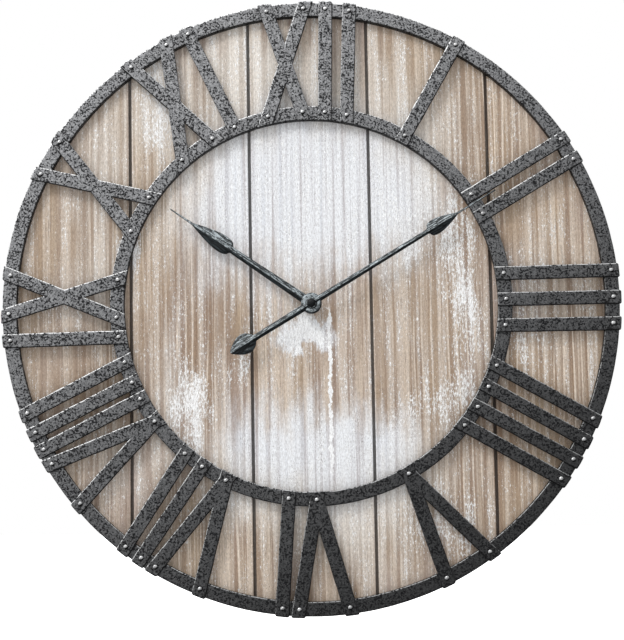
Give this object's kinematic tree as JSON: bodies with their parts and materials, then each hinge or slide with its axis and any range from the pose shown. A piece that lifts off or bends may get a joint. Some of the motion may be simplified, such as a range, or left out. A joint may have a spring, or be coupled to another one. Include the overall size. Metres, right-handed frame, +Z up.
{
  "type": "wall clock",
  "caption": "Round wall clock: planked dial, two standing iron hoops joined by riveted strap Roman numerals, spade hands, battery quartz movement behind.",
  "frame": {"origin": "centre of the keyhole entry in the hanger plate, at the plate's back face", "axes": "+Z up, front faces -Y, +Y points into the wall, +X to the right seen from the front"},
  "size_m": [0.61, 0.0504, 0.6098],
  "materials": {
    "plank_wood": "weathered and whitewashed softwood",
    "batten_wood": "bare sawn softwood",
    "zinc_steel": "bright zinc plate",
    "iron": "gunmetal hammered paint with black speckles",
    "rivet_steel": "gunmetal paint, rubbed bright on the domes",
    "rubber": "matt black",
    "case_plastic": "moulded black",
    "gear_plastic": "natural moulded acetal",
    "brass": "turned and lacquered",
    "battery_wrap": "plain coloured sleeve",
    "board_green": "solder resist",
    "epoxy_black": "cured potting",
    "lamination": "stamped soft iron",
    "copper_wire": "enamelled copper wire",
    "magnet_black": "bonded ferrite magnet",
    "hand_metal": "dark pewter, brushed bright on the edges",
    "nut_black": "gloss black"
  },
  "bodies": {
    "clock_frame": {"plank_1": "plank_wood", "plank_2": "plank_wood", "plank_3": "plank_wood", "plank_4": "plank_wood", "plank_5": "plank_wood", "upper_batten": "batten_wood", "lower_batten": "batten_wood", "batten_screws": "zinc_steel", "outer_hoop": "iron", "inner_hoop": "iron", "hoop_studs": "zinc_steel", "hoop_screws": "zinc_steel", "numeral_01": "iron", "numeral_02": "iron", "numeral_03": "iron", "numeral_04": "iron", "numeral_05": "iron", "numeral_06": "iron", "numeral_07": "iron", "numeral_08": "iron", "numeral_09": "iron", "numeral_10": "iron", "numeral_11": "iron", "numeral_12": "iron", "outer_rivets": "rivet_steel", "inner_rivets": "rivet_steel", "hanger_plate": "zinc_steel", "hanger_screws": "zinc_steel", "wall_pads": "rubber", "movement_housing": "case_plastic", "movement_cover": "case_plastic", "middle_plate": "gear_plastic", "threaded_bush": "brass", "gasket": "rubber", "washer": "brass", "hex_nut": "brass", "positive_contact": "zinc_steel", "negative_contact": "zinc_steel", "circuit_board": "board_green", "chip_blob": "epoxy_black", "quartz_crystal": "zinc_steel", "stator": "lamination", "coil_core": "lamination", "coil_bobbin": "gear_plastic", "coil_winding": "copper_wire"},
    "minute_body": {"minute_hand": "hand_metal", "minute_bush": "hand_metal", "hand_nut": "nut_black", "minute_arbor": "brass", "centre_wheel": "gear_plastic"},
    "hour_body": {"hour_hand": "hand_metal", "hour_bush": "hand_metal", "hour_wheel": "brass"},
    "motion_body": {"motion_wheel": "gear_plastic"},
    "knob_body": {"setting_knob": "case_plastic"},
    "third_body": {"third_wheel": "gear_plastic"},
    "seconds_body": {"seconds_wheel": "gear_plastic"},
    "intermediate_body": {"intermediate_wheel": "gear_plastic"},
    "rotor_body": {"rotor": "magnet_black"},
    "battery_body": {"battery": "battery_wrap"}
  },
  "joints": [
    {"name": "minute_turn", "type": "hinge", "parent": "clock_frame", "child": "minute_body", "pos_m": [0, 0, -0.155], "axis": [0, 1, 0], "continuous": true},
    {"name": "hour_turn", "type": "hinge", "parent": "clock_frame", "child": "hour_body", "pos_m": [0, 0, -0.155], "axis": [0, 1, 0], "continuous": true},
    {"name": "motion_turn", "type": "hinge", "parent": "clock_frame", "child": "motion_body", "pos_m": [0.00789, 0, -0.15787], "axis": [0, 1, 0], "continuous": true},
    {"name": "knob_turn", "type": "hinge", "parent": "clock_frame", "child": "knob_body", "pos_m": [0.01579, 0, -0.16075], "axis": [0, 1, 0], "continuous": true},
    {"name": "third_turn", "type": "hinge", "parent": "clock_frame", "child": "third_body", "pos_m": [-0.00935, 0, -0.1496], "axis": [0, 1, 0], "continuous": true},
    {"name": "seconds_turn", "type": "hinge", "parent": "clock_frame", "child": "seconds_body", "pos_m": [0, 0, -0.155], "axis": [0, 1, 0], "continuous": true},
    {"name": "intermediate_turn", "type": "hinge", "parent": "clock_frame", "child": "intermediate_body", "pos_m": [0.00594, 0, -0.14906], "axis": [0, 1, 0], "continuous": true},
    {"name": "rotor_turn", "type": "hinge", "parent": "clock_frame", "child": "rotor_body", "pos_m": [0.00881, 0, -0.14117], "axis": [0, 1, 0], "continuous": true},
    {"name": "battery_out", "type": "slide", "parent": "clock_frame", "child": "battery_body", "axis": [0, 1, 0], "range_m": [0, 0.018]}
  ],
  "couplings": [
    {"joint": "hour_turn", "follows": "minute_turn", "ratio": 0.083333},
    {"joint": "motion_turn", "follows": "minute_turn", "ratio": -0.33333},
    {"joint": "knob_turn", "follows": "minute_turn", "ratio": 1},
    {"joint": "third_turn", "follows": "minute_turn", "ratio": -8},
    {"joint": "seconds_turn", "follows": "minute_turn", "ratio": 60},
    {"joint": "intermediate_turn", "follows": "minute_turn", "ratio": -300},
    {"joint": "rotor_turn", "follows": "minute_turn", "ratio": 1800}
  ]
}
